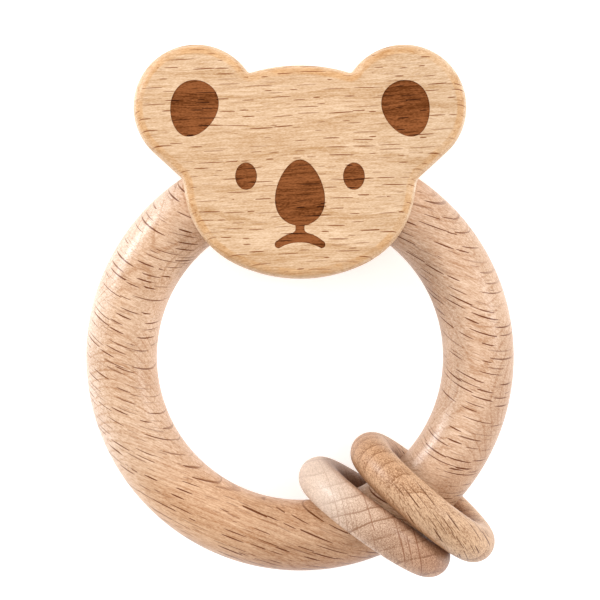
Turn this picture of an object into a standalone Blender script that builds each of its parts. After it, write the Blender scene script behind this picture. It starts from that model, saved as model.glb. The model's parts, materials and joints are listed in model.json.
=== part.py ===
"""Baby rattle in beech: a ring handle, an animal-face head and two loose rattle rings.

The rattle lies on its back, face up, on the plane Z = 0, with the origin under the middle of
its bounding box.  Everything is built in the rattle's own plane: X runs to the right as one
looks at the face, Y to the top of the head and Z out of the face, with the handle ring's
centre at zero.  One empty then tips that plane, so that the back edges of the ears and the
rims of the two loose rings touch the ground.
"""
from math import asin, atan2, cos, pi, radians, sin, sqrt

import bmesh
import bpy
from mathutils import Matrix, Vector

# ---------------------------------------------------------------- driving dimensions, metres
FIT_GAP = 0.0003            # left between touching pieces

# Handle ring: a turned ring with a short gap that the head hides
HANDLE_OUTER_D = 0.0700
HANDLE_TUBE_D = 0.0116
HANDLE_GAP_ANGLE = radians(15.0)
HANDLE_STEPS = 72
HANDLE_SIDES = 20

# Head: two equal boards, glued face to face round the ends of the handle ring
HEAD_THICKNESS = 0.0180
HEAD_TOP_Y = 0.04725
EDGE_ROUND = 0.0018
EDGE_ROUND_STEPS = 3
ARC_STEP = radians(12.0)
CHANNEL_HALF_ANGLE = radians(52.0)     # from the top of the handle ring, past both cheeks

# Outline of the right half of the head, clockwise from the middle of the forehead.
# ("arc", radius, turn in degrees, negative to the right) or ("line", length).
# The chin closes it with one arc centred on the middle line.
HEAD_OUTLINE = (
    ("arc", 0.0270, -17.0),     # forehead
    ("arc", 0.0006, 72.0),      # nick where the ear starts
    ("arc", 0.0101, -183.0),    # ear
    ("arc", 0.0060, -9.8),      # ear's lower corner
    ("line", 0.0060),           # ear's straight underside
    ("arc", 0.0026, 39.4),      # hollow between ear and cheek
    ("line", 0.0019),           # cheek
    ("arc", 0.0145, -56.9),     # jaw
)

# Engraved marks in the face: centre, half width, half height, egg taper, lean in degrees
MARK_DEPTH = 0.0001
MARK_SIDES = 28
EAR_MARK = (0.0172, 0.04015, 0.0038, 0.00465, 0.15, 18.5)
EYE_MARK = (0.0087, 0.02925, 0.00175, 0.0022, 0.0, 0.0)
NOSE_MARK = (0.0, 0.0266, 0.00395, 0.00535, -0.22, 0.0)
PHILTRUM_HALF_WIDTH = 0.00070
MOUTH_TOP_Y = 0.02022
MOUTH_BOTTOM_Y = 0.01857
MOUTH_END_X = 0.00346
MOUTH_END_Y = 0.01824
MOUTH_END_R = 0.00063

# Alignment dowels, one in each ear, across the glue face
DOWEL_D = 0.0040
DOWEL_LENGTH = 0.0110
DOWEL_CHAMFER = 0.0005
DOWEL_SIDES = 16
DOWEL_X = 0.0172
DOWEL_Y = 0.0405

# Rattle rings: two small turned rings, loose on the handle ring
RATTLE_OUTER_D = 0.0289
RATTLE_TUBE_D = 0.0065
RATTLE_STEPS = 36
RATTLE_SIDES = 14

# Where each rattle ring rests on the handle ring, in degrees and metres:
# angle round the handle, distance of its centre from the handle's, turn out of the square
# position, and lean of its top away from the head.
RATTLE_RESTS = {
    "rattle_ring_lower": {"around": -65.0, "radius": 0.0288, "turn": 29.6, "lean": 4.4},
    "rattle_ring_upper": {"around": -48.8, "radius": 0.0304, "turn": 8.4, "lean": 5.6},
}
HANDLE_REST_GAP = 0.0007    # under the handle, inside the upper rattle ring

# Beech, as the record's materials also give it
HANDLE_COLOUR = (0.66, 0.42, 0.27, 1.0)
HEAD_COLOUR = (0.72, 0.48, 0.28, 1.0)
LOWER_RING_COLOUR = (0.70, 0.47, 0.32, 1.0)
UPPER_RING_COLOUR = (0.60, 0.37, 0.19, 1.0)
DOWEL_COLOUR = (0.68, 0.46, 0.29, 1.0)
WOOD_ROUGHNESS = 0.55

# ---------------------------------------------------------------- derived dimensions
TUBE_R = HANDLE_TUBE_D / 2
HANDLE_R = HANDLE_OUTER_D / 2 - TUBE_R
RATTLE_TUBE_R = RATTLE_TUBE_D / 2
RATTLE_R = RATTLE_OUTER_D / 2 - RATTLE_TUBE_R
RATTLE_HOLE_R = RATTLE_R - RATTLE_TUBE_R
HEAD_HALF = HEAD_THICKNESS / 2
GLUE_HALF = FIT_GAP / 2
TOP_ANGLE = pi / 2          # of the handle ring, under the head


# ---------------------------------------------------------------- helpers
def clear_scene():
    for obj in list(bpy.data.objects):
        bpy.data.objects.remove(obj, do_unlink=True)


def wood(name, colour):
    material = bpy.data.materials.new(name)
    material.use_nodes = True
    shader = material.node_tree.nodes["Principled BSDF"]
    shader.inputs["Base Color"].default_value = colour
    shader.inputs["Roughness"].default_value = WOOD_ROUGHNESS
    shader.inputs["Metallic"].default_value = 0.0
    return material


def empty(name, parent=None):
    obj = bpy.data.objects.new(name, None)
    bpy.context.collection.objects.link(obj)
    obj.parent = parent
    return obj


def finish_mesh(name, bm, material, parent):
    """Turn a bmesh into a smooth-shaded object under the given parent."""
    bmesh.ops.recalc_face_normals(bm, faces=bm.faces)
    mesh = bpy.data.meshes.new(name)
    bm.to_mesh(mesh)
    bm.free()
    mesh.shade_smooth()
    mesh.set_sharp_from_angle(angle=radians(35.0))
    if material:
        mesh.materials.append(material)
    obj = bpy.data.objects.new(name, mesh)
    bpy.context.collection.objects.link(obj)
    obj.parent = parent
    return obj


def make_cutter(obj):
    obj.hide_render = True
    obj.display_type = "WIRE"
    return obj


def cut(obj, cutter):
    boolean = obj.modifiers.new("cut " + cutter.name, "BOOLEAN")
    boolean.operation = "DIFFERENCE"
    boolean.solver = "EXACT"
    boolean.object = make_cutter(cutter)


# ---------------------------------------------------------------- turned rings
def ring_mesh(centre_r, tube_r, start, sweep, steps, sides):
    """A tube bent round Z: a whole ring, or an arc with flat ends."""
    whole = sweep >= 2 * pi
    bm = bmesh.new()
    stations = steps if whole else steps + 1
    loops = []
    for i in range(stations):
        around = start + sweep * i / steps
        loop = []
        for j in range(sides):
            about = 2 * pi * j / sides
            reach = centre_r + tube_r * cos(about)
            loop.append(bm.verts.new((reach * cos(around), reach * sin(around), tube_r * sin(about))))
        loops.append(loop)
    pairs = list(zip(loops, loops[1:]))
    if whole:
        pairs.append((loops[-1], loops[0]))
    else:
        bm.faces.new(loops[0])
        bm.faces.new(loops[-1])
    for near, far in pairs:
        for j in range(sides):
            k = (j + 1) % sides
            bm.faces.new((near[j], far[j], far[k], near[k]))
    return bm


def build_handle_ring(rattle):
    sweep = 2 * pi - HANDLE_GAP_ANGLE
    bm = ring_mesh(HANDLE_R, TUBE_R, TOP_ANGLE + HANDLE_GAP_ANGLE / 2, sweep, HANDLE_STEPS, HANDLE_SIDES)
    return finish_mesh("handle_ring", bm, wood("beech_handle", HANDLE_COLOUR), rattle)


def channel_cutter(name, side, rattle):
    """The socket for one end of the handle ring; side is 1 on the right, -1 on the left."""
    clearance_angle = FIT_GAP / HANDLE_R
    near = HANDLE_GAP_ANGLE / 2 - clearance_angle
    sweep = CHANNEL_HALF_ANGLE - near
    start = TOP_ANGLE - CHANNEL_HALF_ANGLE if side > 0 else TOP_ANGLE + near
    steps = round(HANDLE_STEPS * sweep / (2 * pi - HANDLE_GAP_ANGLE))
    bm = ring_mesh(HANDLE_R, TUBE_R + FIT_GAP, start, sweep, steps, HANDLE_SIDES)
    return finish_mesh(name, bm, None, rattle)


# ---------------------------------------------------------------- head
def arc_points(x, y, heading, radius, turn):
    """Points along an arc from (x, y), without its first point, and the heading after it."""
    side = 1 if turn > 0 else -1
    centre_x = x - side * radius * sin(heading)
    centre_y = y + side * radius * cos(heading)
    steps = max(2, round(abs(turn) / ARC_STEP))
    points = []
    for i in range(1, steps + 1):
        along = heading + turn * i / steps
        points.append((centre_x + side * radius * sin(along), centre_y - side * radius * cos(along)))
    return points, heading + turn


def head_outline():
    """The whole outline, clockwise from the middle of the forehead."""
    x, y, heading = 0.0, HEAD_TOP_Y, 0.0
    half = [(x, y)]
    for kind, *values in HEAD_OUTLINE:
        if kind == "arc":
            radius, turn = values
            points, heading = arc_points(x, y, heading, radius, radians(turn))
            half += points
        else:
            length = values[0]
            half.append((x + length * cos(heading), y + length * sin(heading)))
        x, y = half[-1]
    chin_turn = -pi - heading
    chin, heading = arc_points(x, y, heading, x / sin(-chin_turn), chin_turn)
    half += chin
    mirrored = [(-px, py) for px, py in reversed(half[1:-1])]
    return half + mirrored


def board(name, z_glue, z_face, material, rattle):
    """One half of the head, flat on the glue face, with a rounded edge on the outer face."""
    bm = bmesh.new()
    glue_face = bm.faces.new([bm.verts.new((x, y, z_glue)) for x, y in head_outline()])
    extruded = bmesh.ops.extrude_face_region(bm, geom=[glue_face], use_keep_orig=True)["geom"]
    outer = [item for item in extruded if isinstance(item, bmesh.types.BMVert)]
    bmesh.ops.translate(bm, verts=outer, vec=(0, 0, z_face - z_glue))
    rim = [edge for edge in bm.edges if all(vert in outer for vert in edge.verts)]
    bmesh.ops.bevel(bm, geom=rim, offset=EDGE_ROUND, segments=EDGE_ROUND_STEPS, profile=0.5, affect="EDGES")
    return finish_mesh(name, bm, material, rattle)


def prism_cutter(name, points, z_low, z_high, rattle):
    bm = bmesh.new()
    face = bm.faces.new([bm.verts.new((x, y, z_low)) for x, y in points])
    extruded = bmesh.ops.extrude_face_region(bm, geom=[face], use_keep_orig=True)["geom"]
    top = [item for item in extruded if isinstance(item, bmesh.types.BMVert)]
    bmesh.ops.translate(bm, verts=top, vec=(0, 0, z_high - z_low))
    return finish_mesh(name, bm, None, rattle)


def egg_points(mark, side):
    """An ellipse that is wider towards one end, leaned towards the middle line."""
    centre_x, centre_y, half_w, half_h, taper, lean = mark
    tilt = radians(lean) * side
    points = []
    for i in range(MARK_SIDES):
        t = 2 * pi * i / MARK_SIDES
        x = half_w * cos(t) * (1 + taper * sin(t))
        y = half_h * sin(t)
        across = x * cos(tilt) - y * sin(tilt)
        up = x * sin(tilt) + y * cos(tilt)
        points.append((side * centre_x + across, centre_y + up))
    return points


def mouth_points():
    """A down-turned crescent with round ends, thickest in the middle."""
    def arc_through(top_y, end_x, end_y):
        rise = top_y - end_y
        radius = (end_x ** 2 + rise ** 2) / (2 * rise)
        half = asin(end_x / radius)
        return [(radius * sin(half * i / 5), top_y - radius * (1 - cos(half * i / 5))) for i in range(-5, 6)]

    upper = arc_through(MOUTH_TOP_Y, MOUTH_END_X + 0.5 * MOUTH_END_R, MOUTH_END_Y + MOUTH_END_R)
    lower = arc_through(MOUTH_BOTTOM_Y, MOUTH_END_X - 0.5 * MOUTH_END_R, MOUTH_END_Y - MOUTH_END_R)
    right_end = (MOUTH_END_X + MOUTH_END_R, MOUTH_END_Y - 0.3 * MOUTH_END_R)
    left_end = (-right_end[0], right_end[1])
    return upper + [right_end] + lower[::-1] + [left_end]


def philtrum_points():
    low = (MOUTH_TOP_Y + MOUTH_BOTTOM_Y) / 2
    high = NOSE_MARK[1] - 0.9 * NOSE_MARK[3]
    half = PHILTRUM_HALF_WIDTH
    return [(-half, low), (half, low), (half, high), (-half, high)]


def engrave(front, rattle):
    floor = HEAD_HALF - MARK_DEPTH
    above = HEAD_HALF + MARK_DEPTH
    marks = {"nose": egg_points(NOSE_MARK, 1), "mouth": mouth_points(), "philtrum": philtrum_points()}
    for side, word in ((1, "right"), (-1, "left")):
        marks["ear_" + word] = egg_points(EAR_MARK, side)
        marks["eye_" + word] = egg_points(EYE_MARK, side)
    for word, points in marks.items():
        cut(front, prism_cutter("mark_" + word, points, floor, above, rattle))


def dowel(name, x, y, radius, length, chamfer, material, rattle):
    """A pin along Z with chamfered ends, centred on the glue face."""
    bm = bmesh.new()
    size = {"radius1": radius, "radius2": radius, "depth": length}
    bmesh.ops.create_cone(bm, cap_ends=True, segments=DOWEL_SIDES, **size)
    if chamfer:
        rims = [edge for edge in bm.edges if abs(edge.verts[0].co.z - edge.verts[1].co.z) < chamfer]
        bmesh.ops.bevel(bm, geom=rims, offset=chamfer, segments=1, affect="EDGES")
    obj = finish_mesh(name, bm, material, rattle)
    obj.location = (x, y, 0)
    return obj


def build_head(rattle):
    beech = wood("beech_head", HEAD_COLOUR)
    pin_beech = wood("beech_dowel", DOWEL_COLOUR)
    front = board("head_front", GLUE_HALF, HEAD_HALF, beech, rattle)
    back = board("head_back", -GLUE_HALF, -HEAD_HALF, beech, rattle)
    for side, word in ((1, "right"), (-1, "left")):
        channel = channel_cutter("channel_" + word, side, rattle)
        hole = dowel("dowel_hole_" + word, side * DOWEL_X, DOWEL_Y, DOWEL_D / 2 + FIT_GAP,
                     DOWEL_LENGTH + 2 * FIT_GAP, 0, None, rattle)
        for half in (front, back):
            cut(half, channel)
            cut(half, hole)
        dowel("dowel_" + word, side * DOWEL_X, DOWEL_Y, DOWEL_D / 2, DOWEL_LENGTH, DOWEL_CHAMFER,
              pin_beech, rattle)
    engrave(front, rattle)


# ---------------------------------------------------------------- how the rattle lies
def ear_rest():
    """The point on the back of the ears, in the rattle's plane, that touches the ground."""
    return max(y for _, y in head_outline()) - EDGE_ROUND, -HEAD_HALF


def rattle_centre(rest):
    around = radians(rest["around"])
    return rest["radius"] * cos(around), rest["radius"] * sin(around)


def ground_tilt():
    """Tip of the rattle's plane: ears on the ground, handle held up inside the upper ring."""
    ear_y, ear_z = ear_rest()
    ring_y = rattle_centre(RATTLE_RESTS["rattle_ring_upper"])[1]
    rim_z = -TUBE_R - HANDLE_REST_GAP - RATTLE_TUBE_D
    return atan2(ear_z - rim_z, ear_y - ring_y)


def ground_lift(tilt):
    """Height of the handle's centre when the backs of the ears touch the ground."""
    ear_y, ear_z = ear_rest()
    return ear_y * sin(tilt) - ear_z * cos(tilt)


def centre_over_origin(rattle):
    """Slide the rattle so that the middle of its bounding box, seen from above, is at zero."""
    bpy.context.view_layer.update()
    pieces = [obj for obj in bpy.data.objects if obj.type == "MESH" and not obj.hide_render]
    points = [obj.matrix_world @ vert.co for obj in pieces for vert in obj.data.vertices]
    for axis in (0, 1):
        reach = [point[axis] for point in points]
        rattle.location[axis] -= (min(reach) + max(reach)) / 2


def rattle_rise(rest, attitude, tilt):
    """How far a rattle ring's centre lies above the handle's plane when it stands on its rim."""
    around = Matrix.Rotation(radians(rest["around"]), 3, "Z")
    axis = Matrix.Rotation(-tilt, 3, "X") @ around @ attitude.to_3x3() @ Vector((0, 0, 1))
    height = RATTLE_R * sqrt(1 - axis.z ** 2) + RATTLE_TUBE_R
    return (height - ground_lift(tilt) + rattle_centre(rest)[1] * sin(tilt)) / cos(tilt)


def build_rattle_ring(name, rest, colour, rattle, tilt):
    """A small ring, standing on its rim, turned about the handle by its own empty."""
    upright = Matrix.Rotation(pi / 2, 4, "X")
    leaned = Matrix.Rotation(radians(rest["lean"]), 4, "X")
    turned = Matrix.Rotation(radians(rest["turn"]), 4, "Z")
    attitude = turned @ leaned @ upright
    orbit = empty("orbit_of_" + name, rattle)
    orbit.rotation_euler = (0, 0, radians(rest["around"]))
    bm = ring_mesh(RATTLE_R, RATTLE_TUBE_R, 0, 2 * pi, RATTLE_STEPS, RATTLE_SIDES)
    ring = finish_mesh(name, bm, wood("beech_" + name, colour), orbit)
    place = Matrix.Translation((rest["radius"], 0, rattle_rise(rest, attitude, tilt)))
    ring.matrix_local = place @ attitude


def build():
    clear_scene()
    rattle = empty("rattle")
    tilt = ground_tilt()
    rattle.rotation_euler = (-tilt, 0, 0)
    rattle.location = (0, 0, ground_lift(tilt))
    build_handle_ring(rattle)
    build_head(rattle)
    colours = {"rattle_ring_lower": LOWER_RING_COLOUR, "rattle_ring_upper": UPPER_RING_COLOUR}
    for name, rest in RATTLE_RESTS.items():
        build_rattle_ring(name, rest, colours[name], rattle, tilt)
    centre_over_origin(rattle)


build()
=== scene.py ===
"""Looks of the beech baby rattle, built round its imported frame.

Every visible piece is a fine mesh that stands for its CAD node, cut from one solid beech
texture of its own: the grain, the rays and the growth rings run through the piece in three
dimensions, so dashes show on a face, lines on an end and flakes in between.
"""

import json
from math import asin, cos, pi, radians, sin

import bmesh
import bpy
import numpy as np
from mathutils import Matrix, Vector


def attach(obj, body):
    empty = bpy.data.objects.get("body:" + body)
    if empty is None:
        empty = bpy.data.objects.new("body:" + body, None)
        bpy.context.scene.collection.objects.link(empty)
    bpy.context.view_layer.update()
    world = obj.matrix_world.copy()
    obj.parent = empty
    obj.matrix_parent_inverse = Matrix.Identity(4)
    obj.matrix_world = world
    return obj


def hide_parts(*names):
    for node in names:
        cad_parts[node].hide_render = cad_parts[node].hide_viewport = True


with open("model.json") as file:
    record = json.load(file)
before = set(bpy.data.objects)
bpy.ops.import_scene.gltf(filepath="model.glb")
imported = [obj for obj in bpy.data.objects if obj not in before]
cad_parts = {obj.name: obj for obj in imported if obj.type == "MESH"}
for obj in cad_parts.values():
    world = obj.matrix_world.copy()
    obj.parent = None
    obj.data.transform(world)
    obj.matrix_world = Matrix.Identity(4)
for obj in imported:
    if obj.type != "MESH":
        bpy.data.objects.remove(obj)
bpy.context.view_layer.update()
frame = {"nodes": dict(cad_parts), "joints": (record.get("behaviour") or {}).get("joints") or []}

# ---------------------------------------------------------------- sizes, metres
# The head's outline, marks and edge, as the CAD has them
HEAD_TOP_Y = 0.04725
EDGE_ROUND = 0.0018
HEAD_OUTLINE = (
    ("arc", 0.0270, -17.0),     # forehead
    ("arc", 0.0006, 72.0),      # nick where the ear starts
    ("arc", 0.0101, -183.0),    # ear
    ("arc", 0.0060, -9.8),      # ear's lower corner
    ("line", 0.0060),           # ear's straight underside
    ("arc", 0.0026, 39.4),      # hollow between ear and cheek
    ("line", 0.0019),           # cheek
    ("arc", 0.0145, -56.9),     # jaw
)
MARK_DEPTH = 0.0001
EAR_MARK = (0.0172, 0.04015, 0.0038, 0.00465, 0.15, 18.5)
EYE_MARK = (0.0087, 0.02925, 0.00175, 0.0022, 0.0, 0.0)
NOSE_MARK = (0.0, 0.0266, 0.00395, 0.00535, -0.22, 0.0)
PHILTRUM_HALF_WIDTH = 0.00072
MOUTH_TOP_Y = 0.02022
MOUTH_BOTTOM_Y = 0.01857
MOUTH_END_X = 0.00346
MOUTH_END_Y = 0.01824
MOUTH_END_R = 0.00063

# Fineness of the visible meshes
ARC_STEP = radians(3.0)
SHORTEST_STEP = 0.00025
EDGE_ROUND_STEPS = 8
TUBE_SIDES = 96
HANDLE_STEPS = 420
RATTLE_STEPS = 240
MARK_SIDES = 96
SMOOTH_ANGLE = radians(32.0)

# The glued joint: the boards almost touch, and a fine groove shows between them
GLUE_HALF_GAP = 0.00001
GLUE_GROOVE = 0.00012
SOCKET_GAP = 0.00004
HEAD_HALF_ANGLE = radians(52.0)

# Camera: square to the rattle's own plane, which is tipped a little off the floor
CAMERA_DISTANCE = 0.600
CAMERA_AIM_Y = 0.00928
VIEW_WIDTH = 0.09822
SENSOR_WIDTH = 36.0

# The floor; its specks are in waves per metre
FLOOR_SIZE = 3.0
FLOOR_SPECKLE_WAVES = 400.0
FLOOR_GLOW = 0.38

# The handle's ends, hidden in the head
HANDLE_START = pi / 2 + radians(7.5)
HANDLE_SWEEP = radians(345.0)

# The marks' curves; the mouth's round ends start and step by angles in degrees
MOUTH_STEPS = 20
ROUND_END_STEPS = 8
ROUND_END_START = -60
ROUND_END_STEP = 15
PHILTRUM_STEPS = 24
PHILTRUM_FLARE = 0.0016

# Millimetres in a metre: the wood is laid out in millimetres
MM = 1000.0

# Beech's noises, in waves per millimetre along the grain, round the trunk and outwards
WANDER_WAVES = (0.035, 0.09, 0.05)
RING_WAVES = (0.03, 0.08, 0.35)
RING_PATCHES = (0.10, 0.12, 0.12)
BROAD_WAVES = (0.04, 0.22, 0.22)
STREAK_WAVES = (0.24, 3.6, 3.6)
PORE_WAVES = (2.2, 8.0, 8.0)

# Rays and rings: how full a spindle is, how late in its year a ring darkens, and how far off the
# minor rays are looked up, in millimetres
SPINDLE_POWER = 0.6
YEAR_POWER = 1.6
MINOR_RAY_SHIFT = (37.0, 11.0, 53.0)

# Beech's surface: its gloss, and the relief of each feature as a share of RELIEF_DEPTH, in metres
BEECH_IOR = 1.46
STREAK_ROUGHNESS = 0.12
RELIEF_DEPTH = 0.00004
STREAK_RELIEF = 0.8
PORE_RELIEF = 0.5
RAY_RELIEF = 0.35

# The uneven border of a tint: waves per metre, and its whole swing in millimetres
TINT_WOBBLE_WAVES = 90.0
TINT_WOBBLE_MM = 8.0

# A small ring's painted shade on its inner side: where it starts and is full, in tube radii inside the
# centre line
HOLE_SHADE_START = 0.25
HOLE_SHADE_FULL = 0.9

# Patches along the head's burnished edge, in waves per metre
EDGE_PATCH_WAVES = 350.0


# ---------------------------------------------------------------- places, from the frame
def rattle_plane():
    """The rattle's own plane: the handle's centre, with Z along the axis the rings orbit."""
    joint = frame["joints"][0]
    z = Vector(joint["axis"]).normalized()
    x = Vector((1, 0, 0))
    y = z.cross(x)
    plane = Matrix((x, y, z)).transposed().to_4x4()
    plane.translation = Vector(joint["pos_m"])
    return plane


PLANE = rattle_plane()


def node_points(node):
    return np.array([vertex.co for vertex in frame["nodes"][node].data.vertices])


def ring_radii(points, centre, axis):
    """Centre-line radius and tube radius of a turned ring."""
    offsets = points - centre
    reach = np.linalg.norm(offsets - np.outer(offsets @ axis, axis), axis=1)
    return (reach.max() + reach.min()) / 2, (reach.max() - reach.min()) / 2


def loose_ring(node):
    """Placement matrix, centre-line radius and tube radius of a small ring."""
    points = node_points(node)
    centre = (points.max(axis=0) + points.min(axis=0)) / 2
    axis = np.linalg.svd(points - centre, full_matrices=False)[2][2]
    turn = Vector((0, 0, 1)).rotation_difference(Vector(axis))
    return Matrix.Translation(centre) @ turn.to_matrix().to_4x4(), *ring_radii(points, centre, axis)


def head_half_thickness():
    """Half the head's thickness, from the front board's points along the plane's Z."""
    to_plane = PLANE.inverted()
    return max((to_plane @ Vector(point)).z for point in node_points("head_front"))


def handle_radii():
    centre = np.array(PLANE.translation)
    axis = np.array(PLANE.col[2].xyz)
    return ring_radii(node_points("handle_ring"), centre, axis)


HANDLE_R, TUBE_R = handle_radii()
HEAD_HALF = head_half_thickness()


# ---------------------------------------------------------------- node trees
class Graph:
    """Short calls for building a material's nodes."""

    def __init__(self, name):
        self.material = bpy.data.materials.new(name)
        self.material.use_nodes = True
        self.nodes = self.material.node_tree.nodes
        self.links = self.material.node_tree.links
        self.shader = self.nodes["Principled BSDF"]

    def feed(self, socket, value):
        if isinstance(value, bpy.types.NodeSocket):
            self.links.new(value, socket)
        elif isinstance(value, (tuple, list)) and socket.type == "RGBA" and len(value) == 3:
            socket.default_value = (*value, 1.0)
        else:
            socket.default_value = value

    def math(self, operation, a, b=0.0, clamp=False):
        node = self.nodes.new("ShaderNodeMath")
        node.operation = operation
        node.use_clamp = clamp
        self.feed(node.inputs[0], a)
        self.feed(node.inputs[1], b)
        return node.outputs[0]

    def vector(self, operation, a, b):
        node = self.nodes.new("ShaderNodeVectorMath")
        node.operation = operation
        self.feed(node.inputs[0], a)
        self.feed(node.inputs[1], b)
        return node.outputs["Value" if operation in ("DOT_PRODUCT", "DISTANCE") else "Vector"]

    def combine(self, x, y, z):
        node = self.nodes.new("ShaderNodeCombineXYZ")
        for socket, value in zip(node.inputs, (x, y, z)):
            self.feed(socket, value)
        return node.outputs[0]

    def separate(self, vector):
        node = self.nodes.new("ShaderNodeSeparateXYZ")
        self.feed(node.inputs[0], vector)
        return node.outputs

    def smooth(self, value, low, high, to_low=0.0, to_high=1.0):
        node = self.nodes.new("ShaderNodeMapRange")
        node.interpolation_type = "SMOOTHSTEP"
        for socket, given in zip(node.inputs, (value, low, high, to_low, to_high)):
            self.feed(socket, given)
        return node.outputs[0]

    def mix(self, share, a, b, blend="MIX"):
        node = self.nodes.new("ShaderNodeMix")
        node.data_type = "RGBA"
        node.blend_type = blend
        self.feed(node.inputs[0], share)
        self.feed(node.inputs[6], a)
        self.feed(node.inputs[7], b)
        return node.outputs[2]

    def noise(self, vector, scale, detail=2.0, roughness=0.5):
        node = self.nodes.new("ShaderNodeTexNoise")
        self.feed(node.inputs["Vector"], vector)
        node.inputs["Scale"].default_value = scale
        node.inputs["Detail"].default_value = detail
        node.inputs["Roughness"].default_value = roughness
        return node.outputs["Fac"]

    def cells(self, vector):
        """The nearest of a field of scattered points, and its random colour."""
        node = self.nodes.new("ShaderNodeTexVoronoi")
        node.feature = "F1"
        self.feed(node.inputs["Vector"], vector)
        node.inputs["Scale"].default_value = 1.0
        node.inputs["Randomness"].default_value = 1.0
        return node.outputs["Position"], node.outputs["Color"]


# ---------------------------------------------------------------- beech
def wood_point(graph, grain, radial, start, wander_mm):
    """Where a point lies in the tree, in millimetres: along the grain, round and outwards."""
    along = Vector(grain).normalized()
    round_ = Vector(radial).cross(along).normalized()
    outward = along.cross(round_)
    place = graph.nodes.new("ShaderNodeTexCoord").outputs["Object"]
    parts = [graph.vector("DOT_PRODUCT", place, axis * MM) for axis in (along, round_, outward)]
    straight = graph.vector("ADD", graph.combine(*parts), start)
    wander = graph.noise(graph.vector("MULTIPLY", straight, WANDER_WAVES), 1.0, 2.0)
    wander = graph.math("SUBTRACT", wander, 0.5)
    drift = graph.combine(0.0, *(graph.math("MULTIPLY", wander, amount) for amount in wander_mm))
    return graph.vector("ADD", straight, drift)


def ray_dashes(graph, point, rays):
    """Spindle-shaped ends of the wood's rays: thin sheets, long outwards, short along the grain."""
    cell = rays["cell"]
    position, colour = graph.cells(graph.vector("DIVIDE", point, cell))
    centre = graph.vector("MULTIPLY", position, cell)
    along, round_, _ = graph.separate(graph.vector("SUBTRACT", point, centre))
    length_pick, strength_pick, width_pick = graph.separate(colour)
    half = graph.smooth(length_pick, 0.0, 1.0, *rays["half_length"])
    share = graph.math("DIVIDE", along, half)
    bulge = graph.math("SUBTRACT", 1.0, graph.math("MULTIPLY", share, share), clamp=True)
    width = graph.smooth(width_pick, 0.0, 1.0, *rays["half_width"])
    width = graph.math("MULTIPLY", graph.math("POWER", bulge, SPINDLE_POWER), width)
    inner = graph.math("SUBTRACT", width, rays["edge"])
    outer = graph.math("ADD", width, rays["edge"])
    inside = graph.smooth(graph.math("ABSOLUTE", round_), outer, inner)
    ends = graph.smooth(bulge, 0.0, 0.25)
    strength = graph.smooth(strength_pick, 1.0 - rays["keep"], 1.6 - rays["keep"], 0.0, rays["strength"])
    return graph.math("MULTIPLY", graph.math("MULTIPLY", inside, ends), strength)


def growth_rings(graph, point, look):
    """Yearly rings round the pith: each darkens slowly outwards and ends in a fine line."""
    across = graph.vector("MULTIPLY", point, (0.0, 1.0, 1.0))
    reach = graph.vector("DISTANCE", across, (0.0, *look["pith"]))
    wave = graph.noise(graph.vector("MULTIPLY", point, RING_WAVES), 1.0, 1.0)
    wave = graph.math("MULTIPLY", wave, look["waviness"])
    year = graph.math("FRACT", graph.math("ADD", graph.math("DIVIDE", reach, look["ring_spacing"]), wave))
    body = graph.math("POWER", year, YEAR_POWER)
    width = look["line_width"] / look["ring_spacing"]
    rise = graph.smooth(year, 1.0 - width, 1.0 - 0.4 * width)
    fall = graph.smooth(year, 1.0, 1.0 - 0.2 * width)
    line = graph.math("MULTIPLY", rise, fall)
    patchy = graph.noise(graph.vector("MULTIPLY", point, RING_PATCHES), 1.0, 1.0)
    return body, graph.math("MULTIPLY", line, graph.smooth(patchy, 0.35, 0.60))


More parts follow.
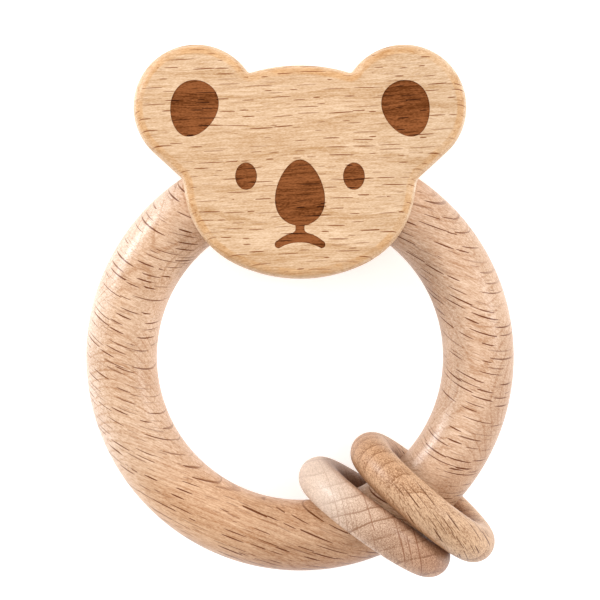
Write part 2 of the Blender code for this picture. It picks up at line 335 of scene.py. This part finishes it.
def beech(name, grain, radial, start, look):
    """One piece's solid beech; look holds the colours and amounts that differ between pieces, and tints,
    some of them painted light and shade.
    """
    graph = Graph(name)
    point = wood_point(graph, grain, radial, start, look["wander"])

    body, line = growth_rings(graph, point, look)
    broad = graph.noise(graph.vector("MULTIPLY", point, BROAD_WAVES), 1.0, 2.0)
    streak = graph.noise(graph.vector("MULTIPLY", point, STREAK_WAVES), 1.0, 2.0, 0.6)
    pores = graph.noise(graph.vector("MULTIPLY", point, PORE_WAVES), 1.0, 1.0)
    if look["ring_fade"]:
        fade = graph.smooth(squareness(graph, grain), *look["ring_fade"])
        body = graph.math("MULTIPLY", body, fade)
        line = graph.math("MULTIPLY", line, fade)

    tone = graph.math("MULTIPLY", body, look["ring_tone"])
    for part, amount in ((broad, look["broad"]), (streak, look["streak"]), (pores, look["pores"])):
        swing = graph.math("MULTIPLY", graph.math("SUBTRACT", part, 0.5), 2.0 * amount)
        tone = graph.math("ADD", tone, swing)
    tone = graph.math("ADD", tone, graph.math("MULTIPLY", line, look["ring_line"]))
    tone = graph.math("ADD", tone, look["tone"], clamp=True)
    colour = graph.mix(tone, look["light"], look["dark"])

    rays = ray_dashes(graph, point, look["major"])
    shifted = graph.vector("ADD", point, MINOR_RAY_SHIFT)
    rays = graph.math("MAXIMUM", rays, ray_dashes(graph, shifted, look["minor"]))
    rays = graph.math("MULTIPLY", rays, graph.smooth(squareness(graph, grain), *look["end_fade"]))
    rays = graph.math("MULTIPLY", rays, graph.smooth(squareness(graph, radial), *look["side_fade"]))
    colour = graph.mix(rays, colour, look["ray"])
    for tint in look["tints"]:
        colour = tint(graph, colour)

    graph.feed(graph.shader.inputs["Base Color"], colour)
    rough = graph.math("ADD", look["roughness"], graph.math("MULTIPLY", streak, STREAK_ROUGHNESS))
    graph.feed(graph.shader.inputs["Roughness"], rough)
    graph.shader.inputs["IOR"].default_value = BEECH_IOR
    graph.shader.inputs["Specular IOR Level"].default_value = look["specular"]

    bump = graph.nodes.new("ShaderNodeBump")
    bump.inputs["Strength"].default_value = look["bump"]
    bump.inputs["Distance"].default_value = RELIEF_DEPTH
    raised = graph.math("MULTIPLY", streak, STREAK_RELIEF)
    sunk = graph.math("MULTIPLY", rays, RAY_RELIEF)
    height = graph.math("SUBTRACT", raised, sunk)
    height = graph.math("ADD", height, graph.math("MULTIPLY", pores, PORE_RELIEF))
    graph.feed(bump.inputs["Height"], height)
    graph.feed(graph.shader.inputs["Normal"], bump.outputs["Normal"])
    return graph.material


def in_plane(*direction):
    """A direction given in the rattle's own plane, in the frame's axes."""
    return PLANE.to_3x3() @ Vector(direction)


def tinted(tone, facing=None, reach=None, most=1.0, blend="MULTIPLY"):
    """Tints a piece where it faces one way, or lies far enough along one, in the rattle's plane: the
    wood's own tones, and painted light and shade.

    facing holds a direction and two cosines, reach a direction and two distances in mm: the tint
    grows from nothing at the first number to its most at the second. It multiplies the colour
    under it, unless blend says to mix with it.
    """
    def tint(graph, colour):
        share = most
        if facing:
            direction, low, high = facing
            normal = graph.nodes.new("ShaderNodeTexCoord").outputs["Normal"]
            cosine = graph.vector("DOT_PRODUCT", normal, in_plane(*direction).normalized())
            share = graph.math("MULTIPLY", share, graph.smooth(cosine, low, high))
        if reach:
            direction, start, end = reach
            axis = in_plane(*direction).normalized()
            place = graph.nodes.new("ShaderNodeTexCoord").outputs["Object"]
            offset = graph.vector("SUBTRACT", place, PLANE.translation)
            along = graph.vector("DOT_PRODUCT", offset, axis * MM)
            wobble = graph.math("SUBTRACT", graph.noise(place, TINT_WOBBLE_WAVES, 2.0), 0.5)
            along = graph.math("ADD", along, graph.math("MULTIPLY", wobble, TINT_WOBBLE_MM))
            share = graph.math("MULTIPLY", share, graph.smooth(along, start, end))
        return graph.mix(share, colour, tone, blend)
    return tint


def painted_hole_shade(node, factor):
    """Paints shade on a small ring's inner side, darker towards the hole, where light reaches least."""
    place, centre_r, tube_r = loose_ring(node)

    def tint(graph, colour):
        point = graph.nodes.new("ShaderNodeTexCoord").outputs["Object"]
        reach = graph.vector("DISTANCE", point, place.translation)
        start = centre_r - HOLE_SHADE_START * tube_r
        full = centre_r - HOLE_SHADE_FULL * tube_r
        share = graph.smooth(reach, start, full)
        return graph.mix(share, colour, factor, "MULTIPLY")
    return tint


def squareness(graph, direction):
    """How squarely a surface faces a direction or its opposite, from 0 edge-on to 1 face-on."""
    normal = graph.nodes.new("ShaderNodeTexCoord").outputs["Normal"]
    return graph.math("ABSOLUTE", graph.vector("DOT_PRODUCT", normal, Vector(direction).normalized()))


def end_grain(grain, low, high, factor):
    """Tints the surfaces that cut across the fibres."""
    def tint(graph, colour):
        return graph.mix(graph.smooth(squareness(graph, grain), low, high), colour, factor, "MULTIPLY")
    return tint


def worn_edge(graph, colour):
    """The burnished line where the head's rounded edge starts."""
    normal = graph.nodes.new("ShaderNodeTexCoord").outputs["Normal"]
    up = graph.math("ABSOLUTE", graph.vector("DOT_PRODUCT", normal, in_plane(0, 0, 1)))
    place = graph.nodes.new("ShaderNodeTexCoord").outputs["Object"]
    patchy = graph.smooth(graph.noise(place, EDGE_PATCH_WAVES, 2.0), 0.35, 0.6, 0.4, 1.0)
    band = graph.math("MULTIPLY", graph.smooth(up, 0.9995, 0.975), graph.smooth(up, 0.55, 0.80))
    return graph.mix(graph.math("MULTIPLY", band, patchy), colour, (0.97, 0.85, 0.68), "MULTIPLY")


# Rays, in millimetres: cell is their spacing along the grain, round and outwards, and edge how
# soft their sides are. keep is the share of them that shows, and strength how dark they get.
MAJOR_RAYS = {
    "cell": (5.0, 1.45, 17.0),
    "half_length": (1.0, 3.0),
    "half_width": (0.06, 0.12),
    "edge": 0.03,
    "keep": 1.0,
    "strength": 1.0,
}
MINOR_RAYS = {
    "cell": (2.6, 0.75, 9.0),
    "half_length": (0.4, 1.3),
    "half_width": (0.03, 0.06),
    "edge": 0.035,
    "keep": 0.6,
    "strength": 0.6,
}

# How the head's boards are cut, in the rattle's plane
HEAD_GRAIN = (1.0, 0.045, 0.0)
FACE_RADIAL = (0.0, 0.42, 0.91)
BACK_RADIAL = (0.0, -0.35, 0.94)

# end_fade and side_fade hold two squarenesses, to the grain and to the radius, and how strong the
# rays are at each. ring_fade holds two squarenesses to the grain between which the growth rings
# come in, or nothing where they show all round.
BASE_LOOK = {
    "light": (0.70, 0.50, 0.33),
    "dark": (0.42, 0.23, 0.10),
    "ray": (0.20, 0.058, 0.008),
    "tone": 0.42,
    "pith": (0.0, -400.0),
    "ring_spacing": 2.3,
    "ring_tone": 0.22,
    "ring_line": 0.10,
    "line_width": 0.32,
    "waviness": 0.8,
    "wander": (1.6, 4.0),
    "broad": 0.35,
    "streak": 0.75,
    "pores": 0.60,
    "major": MAJOR_RAYS,
    "minor": MINOR_RAYS,
    "roughness": 0.36,
    "specular": 0.28,
    "bump": 0.35,
    "end_fade": (0.80, 0.97, 1.0, 0.4),
    "side_fade": (0.35, 0.75, 0.35, 1.0),
    "ring_fade": (),
    "tints": (),
}


def handle_beech():
    left = (-1.0, 0.1, 0.0)
    right = (1.0, 0.0, 0.0)
    bottom_right = (1.0, -0.6, 0.0)
    tints = (
        tinted((0.96, 0.88, 0.77), reach=((0, 1, 0), -13.0, -27.0)),
        tinted((0.95, 0.93, 0.90), reach=((0, 0, 1), 2.2, 4.8)),
        tinted((1.01, 1.04, 1.06), reach=(left, 14.0, 26.0)),
        # Painted highlight: paler and cooler on the left limb's outer flank, towards the light.
        tinted(
            (1.03, 1.13, 1.26),
            facing=((-0.9, 0.4, 0.1), 0.3, 0.9),
            reach=((-1.0, 0.3, 0.0), 0.0, 10.0),
        ),
        # Painted shadow of the head on the right limb's inner flank.
        tinted((0.86, 0.88, 0.90), facing=((-0.9, -0.2, 0.2), 0.3, 0.8), reach=(right, 8.0, 16.0)),
        # Painted shade on the right limb's outer flank, away from the key light.
        tinted((0.88, 0.88, 0.87), facing=((0.95, 0.1, 0.1), 0.35, 0.85), reach=(right, 14.0, 24.0)),
        tinted((0.98, 0.95, 0.91), facing=((0.1, 0.0, 1.0), 0.60, 0.95), reach=(left, 5.0, 20.0)),
        # Painted shade: darker on the bottom and lower-right surfaces that face down, away from the light.
        tinted(
            (0.74, 0.67, 0.63),
            facing=((0.0, -1.0, 0.0), 0.55, 0.98),
            reach=((0.0, 1.0, 0.0), -18.0, -26.0),
        ),
        tinted((0.86, 0.82, 0.80), facing=((0.3, -1.0, 0.0), 0.0, 0.4), reach=(bottom_right, 4.0, 13.0)),
        tinted((0.86, 0.77, 0.68), facing=((0.1, -1.0, 0.0), 0.75, 0.98), reach=(bottom_right, 4.0, 13.0)),
    )
    look = dict(
        BASE_LOOK,
        light=(0.73, 0.525, 0.385),
        dark=(0.42, 0.222, 0.118),
        ray=(0.14, 0.034, 0.004),
        major=dict(MAJOR_RAYS, cell=(4.8, 1.25, 17.0), half_length=(1.2, 3.4), edge=0.022),
        pith=(6.0, 22.0),
        ring_spacing=1.0,
        ring_line=0.25,
        ring_tone=0.08,
        roughness=0.26,
        waviness=0.3,
        wander=(1.4, 1.8),
        streak=0.8,
        pores=0.7,
        side_fade=(0.1, 0.6, 0.45, 1.0),
        tints=tints,
    )
    grain = in_plane(0.927, -0.375, 0.0)
    radial = in_plane(-0.142, -0.350, 0.926)
    return beech("handle_beech", grain, radial, (3.0, 7.0, 21.0), look)


def head_beech(name, start, radial):
    grain = in_plane(*HEAD_GRAIN)
    rays = dict(MAJOR_RAYS, cell=(4.2, 1.25, 17.0), half_length=(0.6, 2.3), half_width=(0.045, 0.09))
    tints = (
        worn_edge,
        end_grain(grain, 0.66, 0.90, (1.12, 1.22, 1.38)),
        tinted((0.95, 0.96, 0.97), reach=((1.0, 0.0, 0.0), 6.0, 20.0)),
    )
    look = dict(BASE_LOOK, major=rays, minor=dict(MINOR_RAYS, strength=0.45), tints=tints)
    return beech(name, grain, in_plane(*radial), start, look)


def burnt_beech():
    """The face board's own beech, scorched."""
    rays = dict(MAJOR_RAYS, cell=(4.2, 1.25, 17.0), half_length=(0.6, 2.3), half_width=(0.05, 0.10))
    look = dict(
        BASE_LOOK,
        light=(0.245, 0.080, 0.024),
        dark=(0.092, 0.023, 0.003),
        ray=(0.035, 0.007, 0.001),
        major=rays,
        bump=0.5,
        roughness=0.6,
        specular=0.05,
        tone=0.36,
        streak=1.3,
        broad=1.0,
        pores=1.0,
    )
    return beech("burnt_beech", in_plane(*HEAD_GRAIN), in_plane(*FACE_RADIAL), (0.0, 0.0, 0.0), look)


def lower_ring_beech():
    lower_right = (0.8, -0.6, 0.0)
    tints = (
        tinted((0.80, 0.62, 0.48), reach=(lower_right, 22.0, 42.0)),
        # Paler towards the upper-left end: partly the wood's own paler end, partly painted light where the
        # key light falls.
        tinted((1.08, 1.14, 1.18), reach=(lower_right, 26.0, 17.0)),
        tinted((0.61, 0.48, 0.40), reach=(lower_right, 25.0, 16.0), most=0.5, blend="MIX"),
        # Painted light: paler and cooler where the ring faces the upper left, towards the key light.
        tinted((1.06, 1.10, 1.12), facing=((-0.8, 0.5, 0.2), 0.2, 0.8)),
        # Painted shadow on the flank that faces the upper ring.
        tinted((0.72, 0.60, 0.52), facing=((0.75, 0.65, -0.1), 0.60, 0.95)),
        # Painted shade inside the ring's hole.
        painted_hole_shade("rattle_ring_lower", (0.56, 0.45, 0.39)),
    )
    rays = dict(
        MAJOR_RAYS,
        cell=(16.0, 1.2, 14.0),
        half_length=(5.0, 10.0),
        half_width=(0.04, 0.11),
        edge=0.08,
        keep=0.95,
        strength=0.90,
    )
    look = dict(
        BASE_LOOK,
        light=(0.61, 0.42, 0.30),
        dark=(0.26, 0.135, 0.073),
        ray=(0.24, 0.10, 0.045),
        major=rays,
        minor=dict(MINOR_RAYS, keep=0.2, strength=0.4),
        end_fade=(0.0, 1.0, 1.0, 1.0),
        side_fade=(0.0, 1.0, 1.0, 1.0),
        ring_spacing=2.5,
        ring_line=0.70,
        line_width=0.40,
        waviness=0.6,
        wander=(1.6, 3.0),
        pores=1.2,
        streak=0.8,
        tints=tints,
    )
    grain = in_plane(0.10, 0.14, 1.0)
    radial = in_plane(0.24, -0.97, 0.0)
    return beech("lower_ring_beech", grain, radial, (11.0, 3.0, 5.0), look)


def upper_ring_beech():
    grain = in_plane(-0.50, 0.75, 0.45)
    tints = (
        end_grain(grain, 0.45, 0.85, (0.94, 0.88, 0.83)),
        tinted((0.93, 0.93, 0.92), reach=((0.7, -0.7, 0.0), 28.0, 40.0)),
        # Painted shadow on the flank that faces the lower ring.
        tinted((0.72, 0.60, 0.50), facing=((-0.75, -0.65, -0.1), 0.60, 0.95)),
        # Painted shade inside the ring's hole.
        painted_hole_shade("rattle_ring_upper", (0.60, 0.48, 0.40)),
    )
    look = dict(
        BASE_LOOK,
        light=(0.60, 0.385, 0.235),
        dark=(0.26, 0.12, 0.05),
        ray=(0.12, 0.036, 0.008),
        major=dict(MAJOR_RAYS, cell=(5.5, 1.0, 17.0), half_length=(1.3, 3.6), half_width=(0.05, 0.10)),
        ring_spacing=2.6,
        ring_line=0.40,
        ring_tone=0.5,
        waviness=0.6,
        wander=(1.0, 2.0),
        pores=1.25,
        streak=1.2,
        tone=0.28,
        end_fade=(0.55, 0.85, 1.0, 0.0),
        side_fade=(0.2, 0.7, 0.35, 1.0),
        ring_fade=(0.35, 0.70),
        tints=tints,
    )
    return beech("upper_ring_beech", grain, in_plane(0.366, -0.289, 0.885), (23.0, 9.0, 2.0), look)


def dowel_beech():
    grain = in_plane(0.0, 0.0, 1.0)
    radial = in_plane(0.0, 1.0, 0.0)
    return beech("dowel_beech", grain, radial, (5.0, 5.0, 5.0), BASE_LOOK)


# ---------------------------------------------------------------- meshes
def make_piece(name, bm, place, *materials):
    """A smooth-shaded object whose mesh is already in the frame's axes."""
    bmesh.ops.recalc_face_normals(bm, faces=bm.faces)
    bmesh.ops.transform(bm, matrix=place, verts=bm.verts)
    mesh = bpy.data.meshes.new(name)
    bm.to_mesh(mesh)
    bm.free()
    for material in materials:
        mesh.materials.append(material)
    mesh.shade_smooth()
    piece = bpy.data.objects.new(name, mesh)
    bpy.context.scene.collection.objects.link(piece)
    return piece


def ring_mesh(centre_r, tube_r, start, sweep, steps, sides):
    """A tube bent round Z: a whole ring, or an arc with flat ends."""
    whole = sweep >= 2 * pi
    bm = bmesh.new()
    stations = steps if whole else steps + 1
    loops = []
    for i in range(stations):
        around = start + sweep * i / steps
        loop = []
        for j in range(sides):
            about = 2 * pi * j / sides
            reach = centre_r + tube_r * cos(about)
            loop.append(bm.verts.new((reach * cos(around), reach * sin(around), tube_r * sin(about))))
        loops.append(loop)
    pairs = list(zip(loops, loops[1:]))
    if whole:
        pairs.append((loops[-1], loops[0]))
    else:
        bm.faces.new(loops[0])
        bm.faces.new(loops[-1])
    for near, far in pairs:
        for j in range(sides):
            k = (j + 1) % sides
            bm.faces.new((near[j], far[j], far[k], near[k]))
    return bm


def carve(piece, cutters):
    """Cuts the cutters out of a piece for good, and clears the cuts from its modifiers."""
    for cutter in cutters:
        boolean = piece.modifiers.new("cut", "BOOLEAN")
        boolean.operation = "DIFFERENCE"
        boolean.solver = "EXACT"
        boolean.object = cutter
    bpy.context.view_layer.update()
    carved = bpy.data.meshes.new_from_object(piece.evaluated_get(bpy.context.evaluated_depsgraph_get()))
    piece.modifiers.clear()
    piece.data = carved
    carved.set_sharp_from_angle(angle=SMOOTH_ANGLE)
    carved.name = piece.name


def drop(objects):
    for obj in objects:
        bpy.data.objects.remove(obj, do_unlink=True)


def arc_points(x, y, heading, radius, turn):
    """Points along an arc from (x, y), without its first point, and the heading after it."""
    side = 1 if turn > 0 else -1
    centre_x = x - side * radius * sin(heading)
    centre_y = y + side * radius * cos(heading)
    finest = max(ARC_STEP, SHORTEST_STEP / radius)
    steps = max(2, round(abs(turn) / finest))
    points = []
    for i in range(1, steps + 1):
        along = heading + turn * i / steps
        points.append((centre_x + side * radius * sin(along), centre_y - side * radius * cos(along)))
    return points, heading + turn


def head_outline():
    """The whole outline, clockwise from the middle of the forehead."""
    x, y, heading = 0.0, HEAD_TOP_Y, 0.0
    half = [(x, y)]
    for kind, *values in HEAD_OUTLINE:
        if kind == "arc":
            radius, turn = values
            points, heading = arc_points(x, y, heading, radius, radians(turn))
            half += points
        else:
            length = values[0]
            half.append((x + length * cos(heading), y + length * sin(heading)))
        x, y = half[-1]
    chin_turn = -pi - heading
    chin, heading = arc_points(x, y, heading, x / sin(-chin_turn), chin_turn)
    half += chin
    return half + [(-px, py) for px, py in reversed(half[1:-1])]


def board(name, z_glue, z_face, *materials):
    """One half of the head: a rounded outer edge, and a fine chamfer along the glue line."""
    bm = bmesh.new()
    glue_face = bm.faces.new([bm.verts.new((x, y, z_glue)) for x, y in head_outline()])
    extruded = bmesh.ops.extrude_face_region(bm, geom=[glue_face], use_keep_orig=True)["geom"]
    outer = {item for item in extruded if isinstance(item, bmesh.types.BMVert)}
    bmesh.ops.translate(bm, verts=list(outer), vec=(0, 0, z_face - z_glue))
    face_rim = [edge for edge in bm.edges if all(vert in outer for vert in edge.verts)]
    glue_rim = [edge for edge in bm.edges if not any(vert in outer for vert in edge.verts)]
    for rim, offset, steps in ((face_rim, EDGE_ROUND, EDGE_ROUND_STEPS), (glue_rim, GLUE_GROOVE, 2)):
        bmesh.ops.bevel(bm, geom=rim, offset=offset, segments=steps, profile=0.5, affect="EDGES")
    return make_piece(name, bm, PLANE, *materials)


def prism(name, points, z_low, z_high):
    """A cutter whose faces take the second material, the burnt one."""
    bm = bmesh.new()
    face = bm.faces.new([bm.verts.new((x, y, z_low)) for x, y in points])
    extruded = bmesh.ops.extrude_face_region(bm, geom=[face], use_keep_orig=True)["geom"]
    top = [item for item in extruded if isinstance(item, bmesh.types.BMVert)]
    bmesh.ops.translate(bm, verts=top, vec=(0, 0, z_high - z_low))
    for side in bm.faces:
        side.material_index = 1
    return make_piece(name, bm, PLANE)


def egg_points(mark, side):
    """An ellipse that is wider towards one end, leaned towards the middle line."""
    centre_x, centre_y, half_w, half_h, taper, lean = mark
    tilt = radians(lean) * side
    points = []
    for i in range(MARK_SIDES):
        t = 2 * pi * i / MARK_SIDES
        x = half_w * cos(t) * (1 + taper * sin(t))
        y = half_h * sin(t)
        across = x * cos(tilt) - y * sin(tilt)
        up = x * sin(tilt) + y * cos(tilt)
        points.append((side * centre_x + across, centre_y + up))
    return points


def mouth_points():
    """A down-turned crescent with round ends, thickest in the middle."""
    def arc_through(top_y, end_x, end_y):
        rise = top_y - end_y
        radius = (end_x ** 2 + rise ** 2) / (2 * rise)
        half = asin(end_x / radius)
        angles = [half * i / MOUTH_STEPS for i in range(-MOUTH_STEPS, MOUTH_STEPS + 1)]
        return [(radius * sin(angle), top_y - radius * (1 - cos(angle))) for angle in angles]

    def round_end(side):
        cap = []
        for i in range(ROUND_END_STEPS + 1):
            turn = radians(ROUND_END_START + ROUND_END_STEP * i)
            x = MOUTH_END_X + MOUTH_END_R * cos(turn)
            cap.append((side * x, MOUTH_END_Y + MOUTH_END_R * sin(turn)))
        return cap[::-1] if side > 0 else cap

    upper = arc_through(MOUTH_TOP_Y, MOUTH_END_X + 0.35 * MOUTH_END_R, MOUTH_END_Y + 0.94 * MOUTH_END_R)
    lower = arc_through(MOUTH_BOTTOM_Y, MOUTH_END_X - 0.1 * MOUTH_END_R, MOUTH_END_Y - MOUTH_END_R)
    return upper + round_end(1) + lower[::-1] + round_end(-1)


def philtrum_points():
    """The short neck between nose and mouth, flared where it meets them."""
    low = (MOUTH_TOP_Y * 3 + MOUTH_BOTTOM_Y) / 4
    high = NOSE_MARK[1] - 0.86 * NOSE_MARK[3]
    right = []
    for i in range(PHILTRUM_STEPS + 1):
        share = i / PHILTRUM_STEPS
        flare = PHILTRUM_FLARE * abs(2 * share - 1) ** 3.5
        right.append((PHILTRUM_HALF_WIDTH + flare, low + (high - low) * share))
    return right + [(-x, y) for x, y in reversed(right)]


def mark_cutters():
    """One cutter for each mark, reaching from above the face to the mark's floor."""
    floor = HEAD_HALF - MARK_DEPTH
    above = HEAD_HALF + MARK_DEPTH
    shapes = {"nose": egg_points(NOSE_MARK, 1), "mouth": mouth_points(), "philtrum": philtrum_points()}
    for side, word in ((1, "right"), (-1, "left")):
        shapes["ear_" + word] = egg_points(EAR_MARK, side)
        shapes["eye_" + word] = egg_points(EYE_MARK, side)
    return [prism("mark_" + word, points, floor, above) for word, points in shapes.items()]


def socket_cutter():
    """The bore in the head for the handle's two ends, which shows only at the cheeks."""
    start = pi / 2 - HEAD_HALF_ANGLE
    sweep = 2 * HEAD_HALF_ANGLE
    steps = round(HANDLE_STEPS * HEAD_HALF_ANGLE / pi)
    bm = ring_mesh(HANDLE_R, TUBE_R + SOCKET_GAP, start, sweep, steps, TUBE_SIDES)
    return make_piece("socket", bm, PLANE)


# ---------------------------------------------------------------- pieces
def build_handle():
    bm = ring_mesh(HANDLE_R, TUBE_R, HANDLE_START, HANDLE_SWEEP, HANDLE_STEPS, TUBE_SIDES)
    handle = make_piece("ring_handle", bm, PLANE, handle_beech())
    handle.data.set_sharp_from_angle(angle=SMOOTH_ANGLE)
    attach(handle, "rattle")
    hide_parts("handle_ring")


def build_head():
    socket = socket_cutter()
    marks = mark_cutters()
    face_beech = head_beech("face_beech", (0.0, 0.0, 0.0), FACE_RADIAL)
    front = board("face_board", GLUE_HALF_GAP, HEAD_HALF, face_beech, burnt_beech())
    back_beech = head_beech("back_beech", (61.0, 17.0, 29.0), BACK_RADIAL)
    back = board("back_board", -GLUE_HALF_GAP, -HEAD_HALF, back_beech)
    carve(front, [socket, *marks])
    carve(back, [socket])
    drop([socket, *marks])
    for piece, node in ((front, "head_front"), (back, "head_back")):
        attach(piece, "rattle")
        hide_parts(node)


def build_loose_ring(name, node, body, material):
    place, centre_r, tube_r = loose_ring(node)
    bm = ring_mesh(centre_r, tube_r, 0, 2 * pi, RATTLE_STEPS, TUBE_SIDES)
    ring = make_piece(name, bm, place, material)
    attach(ring, body)
    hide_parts(node)


def finish_dowels():
    pin_beech = dowel_beech()
    for node in ("dowel_left", "dowel_right"):
        pin = frame["nodes"][node]
        pin.data.materials.clear()
        pin.data.materials.append(pin_beech)


# ---------------------------------------------------------------- studio
def build_floor():
    """A sheet of translucent white, lit a little from below as on a light table."""
    graph = Graph("studio_floor")
    place = graph.nodes.new("ShaderNodeTexCoord").outputs["Object"]
    speckle = graph.noise(place, FLOOR_SPECKLE_WAVES, 2.0)
    white = graph.mix(speckle, (0.90, 0.90, 0.90), (0.94, 0.94, 0.94))
    graph.feed(graph.shader.inputs["Base Color"], white)
    graph.shader.inputs["Roughness"].default_value = 0.7
    graph.shader.inputs["Specular IOR Level"].default_value = 0.1
    graph.shader.inputs["Emission Color"].default_value = (1.0, 1.0, 1.0, 1.0)
    graph.shader.inputs["Emission Strength"].default_value = FLOOR_GLOW
    bm = bmesh.new()
    bmesh.ops.create_grid(bm, x_segments=2, y_segments=2, size=FLOOR_SIZE / 2)
    floor = make_piece("studio_floor", bm, Matrix.Identity(4), graph.material)


def soft_light(name, direction, distance, size, power):
    """A square softbox that looks at the rattle from a direction in its own plane."""
    light = bpy.data.lights.new(name, "AREA")
    light.shape = "SQUARE"
    light.size = size
    light.energy = power
    lamp = bpy.data.objects.new(name, light)
    towards = in_plane(*direction).normalized()
    lamp.location = PLANE.translation + towards * distance
    lamp.rotation_euler = towards.to_track_quat("Z", "Y").to_euler()
    bpy.context.scene.collection.objects.link(lamp)
    return lamp


def build_studio():
    """White surroundings and four softboxes, the last of which shows only in the wood's gloss."""
    scene = bpy.context.scene
    scene.view_settings.view_transform = "Standard"
    world = bpy.data.worlds.new("studio")
    world.use_nodes = True
    background = world.node_tree.nodes["Background"]
    background.inputs["Color"].default_value = (1.0, 1.0, 1.0, 1.0)
    background.inputs["Strength"].default_value = 1.0
    scene.world = world
    soft_light("key_softbox", (-0.80, 0.50, 0.34), 0.9, 0.30, 4.2)
    soft_light("fill_softbox", (0.80, 0.20, 0.45), 0.9, 0.30, 3.2)
    soft_light("overhead_softbox", (0.0, 0.15, 1.0), 1.4, 1.0, 2.8)
    sheen_light = soft_light("sheen_softbox", (-0.82, 0.54, 0.22), 0.9, 0.26, 5.2)
    sheen_light.visible_diffuse = False


def build_camera():
    camera = bpy.data.cameras.new("camera")
    camera.sensor_width = SENSOR_WIDTH
    camera.lens = SENSOR_WIDTH * CAMERA_DISTANCE / VIEW_WIDTH
    camera.clip_start = 0.01
    camera.clip_end = 20.0
    eye = bpy.data.objects.new("camera", camera)
    eye.matrix_world = PLANE @ Matrix.Translation((0.0, CAMERA_AIM_Y, CAMERA_DISTANCE))
    bpy.context.scene.collection.objects.link(eye)
    bpy.context.scene.camera = eye


build_camera()
build_handle()
build_head()
build_loose_ring(
    "small_ring_lower", "rattle_ring_lower", "lower_ring", lower_ring_beech()
)
build_loose_ring(
    "small_ring_upper", "rattle_ring_upper", "upper_ring", upper_ring_beech()
)
finish_dowels()
build_floor()
build_studio()
